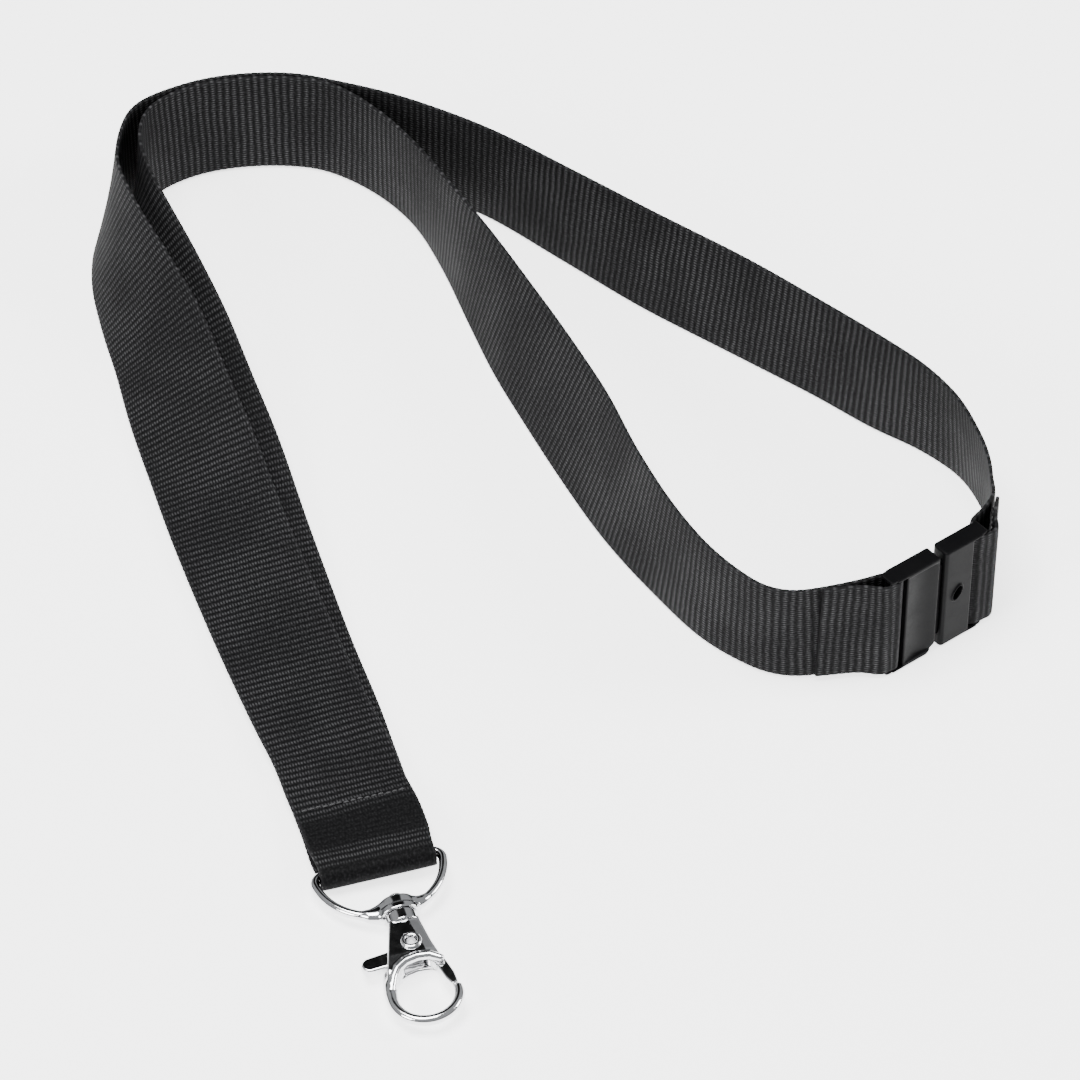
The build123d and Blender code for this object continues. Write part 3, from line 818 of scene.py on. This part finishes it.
# %% Mould the socket
def socket_field(x, y, z):
    shell = block(x, y, z, (18.55, middle_y, half_tall), (3.95, middle_y, half_tall), 0.35)
    round_corner = plate(x, y, z - half_tall, [
        (14.6, 0.9), (14.8, 0.3), (15.3, 0.0), (23, 0), (23, 4.4), (15.3, 4.4), (14.8, 4.1),
        (14.6, 3.5),
    ], half_tall, 0.3)
    shell = np.maximum(shell, round_corner)
    pocket = block(x, y, z, (17.8, middle_y, half_tall), (3.35, 1.15, 10.15), 0.1)
    shell = cut(shell, pocket, 0.1)
    slant = x - 18.2 - 0.35 * (z - half_tall)
    lip = drum(slant * 1.2, (z - half_tall - 0.5) * 0.8, y + 0.1, 1.6, 0.25, 0.12)
    latch = drum(slant * 1.2, (z - half_tall - 0.5) * 0.8, y, 1.3, 1.9, 0.1)
    shell = cut(blend_in(shell, lip, 0.2), latch, 0.25)
    return np.minimum(shell, bar_end(x, y, z, 21.7, 26.5, 25.4))


points, faces = cast(socket_field, (14.0, -0.6, -0.6), (27.1, 5.0, 27.1), 0.2)
make_piece(
    "buckle_socket_moulding", in_buckle(points), faces, "buckle_socket", plastic,
    ["buckle_socket"],
)

# %% [markdown]
# ## Ring, stud and hook
#
# The D-ring and its hub are one casting: a wire that thickens into a short barrel. The
# stud passes through the barrel, so the hook can turn. The hook is a forked body that
# narrows into a round claw.

# %% Cast the D-ring and its stud
hook_x = 1.3  # the hook's axis is this far right of the ring's middle
rivet_y = -24.5
bow_radius = 13.25
bow_y = -1.15
corner_radius = 2.4
corner_x = 10.78
turn_in = np.arctan2(1.25, corner_x)
bow = np.linspace(np.pi + turn_in, 2 * np.pi - turn_in, 41)
corner = np.linspace(np.pi / 2, np.pi + turn_in, 11)
left_corner = np.column_stack([
    -corner_x + corner_radius * np.cos(corner), -corner_radius + corner_radius * np.sin(corner),
])
bow_line = np.column_stack([bow_radius * np.cos(bow), bow_y + bow_radius * np.sin(bow)])
ring_line = np.vstack([
    left_corner, bow_line[1:-1], (left_corner * [-1, 1])[::-1], left_corner[:1],
])
ring_line = np.column_stack([ring_line, 0 * ring_line[:, 0]])


def ring_field(x, y, z):
    hoop = wire(x, y, z, ring_line, bar_radius)
    u = x - hook_x
    barrel = drum(u * 0.83, z, y + 12.9, 2.75, 1.7, 0.9)
    rim = drum(u * 0.71, z, y + 14.6, 3.0, 0.8, 0.35)
    web = wire(x, y, z, [
        (-4.6, -13.0, 0), (hook_x - 1.6, -12.5, 0), (hook_x + 1.6, -12.5, 0), (6.2, -12.5, 0),
    ], [0.8, 2.0, 2.0, 0.8])
    heel = wire(x, y, z, [(-4.6, -14.0, -0.2), (hook_x - 2.4, -14.4, -0.3)], [0.8, 1.9])
    body = blend_in(blend_in(blend_in(hoop, web, 1.4), heel, 1.0), barrel, 0.8)
    body = blend_in(body, rim, 0.35)
    return cut(body, np.sqrt(u * u + z * z) - 1.4, 0.15)


points, faces = cast(ring_field, (-15, -16.2, -3.4), (15, 1.8, 3.4), 0.17)
make_piece("d_ring_casting", in_ring(points), faces, "d_ring", chrome, ["d_ring"])


def stud_field(x, y, z):
    u = x - hook_x
    head = np.sqrt(u * u + (y + 11.9) ** 2 + z * z) - 2.25
    head = np.maximum(head, -(y + 11.13))
    return blend_in(head, drum(u, z, y + 15.0, 1.33, 3.9, 0.1), 0.2)


points, faces = cast(stud_field, (-1.6, -19.4, -2.9), (4.2, -9.0, 2.9), 0.15)
make_piece("swivel_stud_turned", in_ring(points), faces, "hook", chrome, ["swivel_stud"])

# %% Cast the hook
claw_radius = 6.6
claw_x, claw_y = -0.3, -36.8
claw_turn = np.radians(np.arange(0, -181, -6.0))
claw_line = np.vstack([
    np.column_stack([
        claw_x + claw_radius * np.cos(claw_turn), claw_y + claw_radius * np.sin(claw_turn),
    ]),
    [(-6.8, -35.0), (-6.45, -33.0), (-5.8, -30.6)],
])
claw_line = np.column_stack([claw_line, 0 * claw_line[:, 0]])
claw_radii = np.interp(
    np.arange(len(claw_line)), [0, 2, 22, 30, len(claw_line) - 1], [0.95, 1.05, 1.05, 1.2, 1.6]
)
arch_line = [
    (-6.3, -34.0), (-5.3, -31.6), (-4.2, -30.0), (-2.3, -28.8), (0.2, -28.3), (2.7, -28.6),
    (4.6, -29.9),
]
arch_height = [0.9, 1.4, 1.75, 1.95, 2.0, 1.95, 1.8]
arch_radii = [0.65, 0.8, 0.9, 0.92, 0.92, 0.9, 0.75]


def hook_field(x, y, z):
    u = x - hook_x
    half = np.interp(y, [-34.5, -30.5, -27.0, -19.0], [1.2, 2.3, 2.55, 2.45])
    half = half - 0.2 * np.clip(u - 0.6 + 0.16 * (y + 18), 0, 3)
    body = plate(u, y, z, [
        (3.1, -18.0), (-3.0, -18.0), (-4.85, -24.8), (-6.25, -30.0), (-6.8, -33.5), (-5.5, -33.5),
        (-4.4, -31.0), (-2.4, -29.1), (0.0, -28.5), (2.6, -28.9), (4.4, -30.1), (5.0, -29.9),
        (3.95, -24.8),
    ], half, 0.45)
    collar = drum(u * 0.9, z, y + 17.25, 3.17, 1.45, 0.35)
    body = blend_in(body, collar, 0.3)
    body = blend_in(body, wire(u, y, z, claw_line, claw_radii), 0.8)
    for face in (-1, 1):
        edge_line = [(a, b, face * c) for (a, b), c in zip(arch_line, arch_height)]
        body = blend_in(body, wire(u, y, z, edge_line, arch_radii), 0.3)
    slot = plate(u, y, z, [
        (9, -20.2), (-9, -20.2), (-9, -29.0), (-2.6, -29.0), (-2.6, -32), (9, -32),
    ], 1.25, 0.1)
    body = cut(body, slot, 0.3)
    body = cut(body, np.sqrt(u * u + (y - rivet_y) ** 2) - 1.41, 0.1)
    return cut(body, drum(u, z, y + 16.0, 1.36, 2.9, 0.05), 0.1)


points, faces = cast(hook_field, (-8.6, -45.4, -3.3), (9.6, -15.0, 3.3), 0.16)
make_piece("hook_casting", in_ring(points), faces, "hook", chrome, ["hook_body"])


# %% Rivet, gate lever and spring
def rivet_field(x, y, z):
    u, v = x - hook_x, y - rivet_y
    tube = drum(u, v, z, 1.38, 2.75, 0.1)
    rolled = np.sqrt((np.sqrt(u**2 + v**2) - 1.58) ** 2 + ((np.abs(z) - 2.62) * 1.25) ** 2) - 0.56
    return cut(blend_in(tube, rolled, 0.1), drum(u, v, z, 1.0, 6, 0.1), 0.35)


points, faces = cast(rivet_field, (-1.4, -27.2, -3.6), (4.0, -21.8, 3.6), 0.12)
make_piece("rolled_rivet", in_ring(points), faces, "hook", chrome, ["rivet"])


def gate_field(x, y, z):
    u = x - hook_x
    arm = plate(u, y, z, [
        (1.5, -22.8), (3.5, -26.0), (5.4, -29.3), (6.4, -33.4), (6.5, -36.0), (5.3, -36.6),
        (4.4, -34.6), (3.4, -30.3), (1.0, -27.2),
    ], 1.1, 0.3)
    thumb = plate(u, y, z, [
        (0.0, -23.2), (-5.0, -24.5), (-9.6, -25.1), (-10.4, -25.7), (-10.8, -26.6), (-10.6, -27.6),
        (-10.0, -28.3), (-9.2, -28.6), (-5.0, -28.3), (0.0, -27.0),
    ], 1.08, 0.45)
    eye = drum(u, y - rivet_y, z, 3.05, 1.1, 0.2)
    lever = blend_in(blend_in(arm, eye, 0.8), thumb, 0.8)
    lever = cut(lever, np.sqrt(u * u + (y - rivet_y) ** 2) - 1.46, 0.1)
    return cut(lever, drum(u, y - rivet_y, z + 1.1, 2.15, 1.3, 0.05), 0.1)


points, faces = cast(gate_field, (-10.6, -37.5, -1.7), (8.6, -20.7, 1.7), 0.15)
make_piece("gate_lever_casting", in_ring(points), faces, "gate", chrome, ["gate_lever"])
frame["nodes"]["gate_spring"].data.materials.clear()
frame["nodes"]["gate_spring"].data.materials.append(inner_steel)

# %% [markdown]
# ## Floor and light
#
# A pale floor and large soft lights suit a dark, matt object: they show the ribs without hard
# shadows. Polished metal needs something dark to reflect as well, so the light comes from
# a few broad panels and not from all round.

# %% Lay the floor
floor_mesh = bpy.data.meshes.new("floor")
floor_half, floor_z = 3, -0.0003
floor_mesh.from_pydata(
    [(floor_half * a, floor_half * b, floor_z) for a, b in ((-1, -1), (1, -1), (1, 1), (-1, 1))],
    [], [(0, 1, 2, 3)],
)
floor = bpy.data.objects.new("floor", floor_mesh)
bpy.context.collection.objects.link(floor)
floor_white, tree, shader = new_material("pale_floor")
shader.inputs["Base Color"].default_value = (0.93, 0.93, 0.93, 1)
shader.inputs["Roughness"].default_value = 0.9
shader.inputs["Specular IOR Level"].default_value = 0.1
shader.inputs["Emission Color"].default_value = (1.0, 1.0, 1.0, 1)
shader.inputs["Emission Strength"].default_value = 2.4
floor_mesh.materials.append(floor_white)


# %% Hang the lights
def panel_light(name, place, size, power, aim=(0, 0, 0)):
    """A square panel that faces a point."""
    data = bpy.data.lights.new(name, "AREA")
    data.energy, data.size = power, size
    lamp = bpy.data.objects.new(name, data)
    lamp.location = place
    lamp.rotation_euler = (Vector(aim) - Vector(place)).to_track_quat("-Z", "Y").to_euler()
    bpy.context.collection.objects.link(lamp)


panel_light("overhead_panel", (-0.2, -0.05, 1.2), 0.7, 26)
panel_light("front_left_panel", (-0.9, -0.8, 0.7), 0.5, 12)
panel_light("right_panel", (1.0, 0.1, 0.6), 0.4, 9)
world = bpy.data.worlds.new("studio")
bpy.context.scene.world = world
world.use_nodes = True
tree = world.node_tree
look = add_node(tree, "ShaderNodeTexCoord").outputs["Generated"]
towards_card = add_node(
    tree, "ShaderNodeVectorMath", {"operation": "DOT_PRODUCT"},
    i0=look, i1=(-0.17, 0.72, 0.67),
).outputs["Value"]
dark_card = add_node(
    tree, "ShaderNodeMapRange", {"interpolation_type": "SMOOTHSTEP"},
    Value=towards_card, i1=0.93, i2=0.965,
).outputs["Result"]
height = add_node(tree, "ShaderNodeSeparateXYZ", Vector=look).outputs["Z"]
wall = add_node(
    tree, "ShaderNodeMapRange", {"interpolation_type": "SMOOTHSTEP"},
    Value=height, i1=0.05, i2=0.45, i3=0.12, i4=1.0,
).outputs["Result"]
brightness = sum_of(tree, "MULTIPLY", wall, sum_of(tree, "SUBTRACT", 1.02, dark_card))
background = tree.nodes["Background"]
background.inputs["Color"].default_value = (0.93, 0.95, 0.97, 1)
tree.links.new(sum_of(tree, "MULTIPLY", brightness, 0.42), background.inputs["Strength"])

# %% [markdown]
# ## Close
#

# %% Update the scene and close
bpy.context.view_layer.update()
